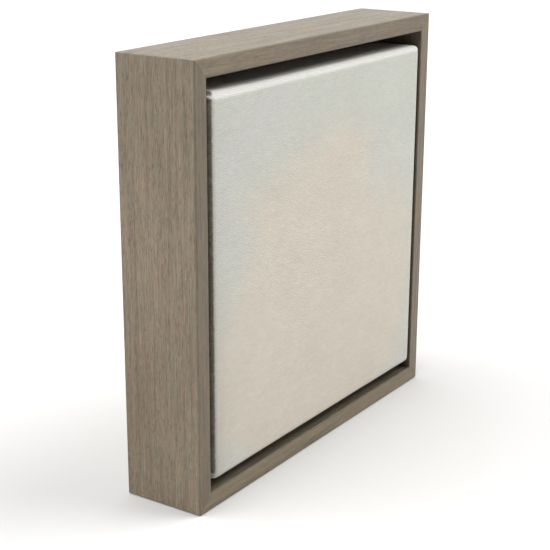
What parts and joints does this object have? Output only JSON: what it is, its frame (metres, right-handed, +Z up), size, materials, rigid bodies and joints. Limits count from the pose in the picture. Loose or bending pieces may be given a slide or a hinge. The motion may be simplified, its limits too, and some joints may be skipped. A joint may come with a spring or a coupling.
{
  "type": "framed stretched canvas",
  "caption": "Small square deep-edge canvas on keyed stretcher bars, screwed into a mitred wooden floater frame with swinging D-rings for wall hanging.",
  "frame": {"origin": "middle of the bottom edge's flat underside, half way through the frame's depth", "axes": "+X along the width, to the right as seen from the painted side; the painted face looks to -Y and the wall side to +Y; +Z up"},
  "size_m": [0.236, 0.0533, 0.236],
  "materials": {
    "frame_wood": "grey-brown washed open-pored hardwood, matt",
    "bar_pine": "bare planed pine",
    "key_beech": "bare sawn beech",
    "painted_canvas": "primed and painted plain-weave cotton, matt, pale wash",
    "staple_steel": "bright galvanised wire",
    "zinc_screw": "zinc plated",
    "nickel_hanger": "nickel plated",
    "bumper_rubber": "matt black rubber"
  },
  "bodies": {
    "frame_and_canvas": {"frame_rail_top": "frame_wood", "frame_rail_bottom": "frame_wood", "frame_rail_left": "frame_wood", "frame_rail_right": "frame_wood", "corner_v_nails": "staple_steel", "stretcher_bar_top": "bar_pine", "stretcher_bar_bottom": "bar_pine", "stretcher_bar_left": "bar_pine", "stretcher_bar_right": "bar_pine", "canvas": "painted_canvas", "canvas_staples": "staple_steel", "mounting_screws": "zinc_screw", "d_ring_strap_left": "nickel_hanger", "d_ring_strap_right": "nickel_hanger", "hanger_screws": "zinc_screw", "wall_bumper_left": "bumper_rubber", "wall_bumper_right": "bumper_rubber"},
    "key_top_left_upright": {"key_top_left_upright": "key_beech"},
    "key_top_left_level": {"key_top_left_level": "key_beech"},
    "key_top_right_upright": {"key_top_right_upright": "key_beech"},
    "key_top_right_level": {"key_top_right_level": "key_beech"},
    "key_bottom_left_upright": {"key_bottom_left_upright": "key_beech"},
    "key_bottom_left_level": {"key_bottom_left_level": "key_beech"},
    "key_bottom_right_upright": {"key_bottom_right_upright": "key_beech"},
    "key_bottom_right_level": {"key_bottom_right_level": "key_beech"},
    "d_ring_left": {"d_ring_left": "nickel_hanger"},
    "d_ring_right": {"d_ring_right": "nickel_hanger"}
  },
  "joints": [
    {"name": "key_top_left_upright_slide", "type": "slide", "parent": "frame_and_canvas", "child": "key_top_left_upright", "axis": [0, 0, -1], "range_m": [0, 0.026]},
    {"name": "key_top_left_level_slide", "type": "slide", "parent": "frame_and_canvas", "child": "key_top_left_level", "axis": [1, 0, 0], "range_m": [0, 0.026]},
    {"name": "key_top_right_upright_slide", "type": "slide", "parent": "frame_and_canvas", "child": "key_top_right_upright", "axis": [0, 0, -1], "range_m": [0, 0.026]},
    {"name": "key_top_right_level_slide", "type": "slide", "parent": "frame_and_canvas", "child": "key_top_right_level", "axis": [-1, 0, 0], "range_m": [0, 0.026]},
    {"name": "key_bottom_left_upright_slide", "type": "slide", "parent": "frame_and_canvas", "child": "key_bottom_left_upright", "axis": [0, 0, 1], "range_m": [0, 0.026]},
    {"name": "key_bottom_left_level_slide", "type": "slide", "parent": "frame_and_canvas", "child": "key_bottom_left_level", "axis": [1, 0, 0], "range_m": [0, 0.026]},
    {"name": "key_bottom_right_upright_slide", "type": "slide", "parent": "frame_and_canvas", "child": "key_bottom_right_upright", "axis": [0, 0, 1], "range_m": [0, 0.026]},
    {"name": "key_bottom_right_level_slide", "type": "slide", "parent": "frame_and_canvas", "child": "key_bottom_right_level", "axis": [-1, 0, 0], "range_m": [0, 0.026]},
    {"name": "d_ring_left_hinge", "type": "hinge", "parent": "frame_and_canvas", "child": "d_ring_left", "pos_m": [-0.104, 0.02635, 0.164], "axis": [1, 0, 0], "range_deg": [0, 174]},
    {"name": "d_ring_right_hinge", "type": "hinge", "parent": "frame_and_canvas", "child": "d_ring_right", "pos_m": [0.104, 0.02635, 0.164], "axis": [1, 0, 0], "range_deg": [0, 174]}
  ]
}
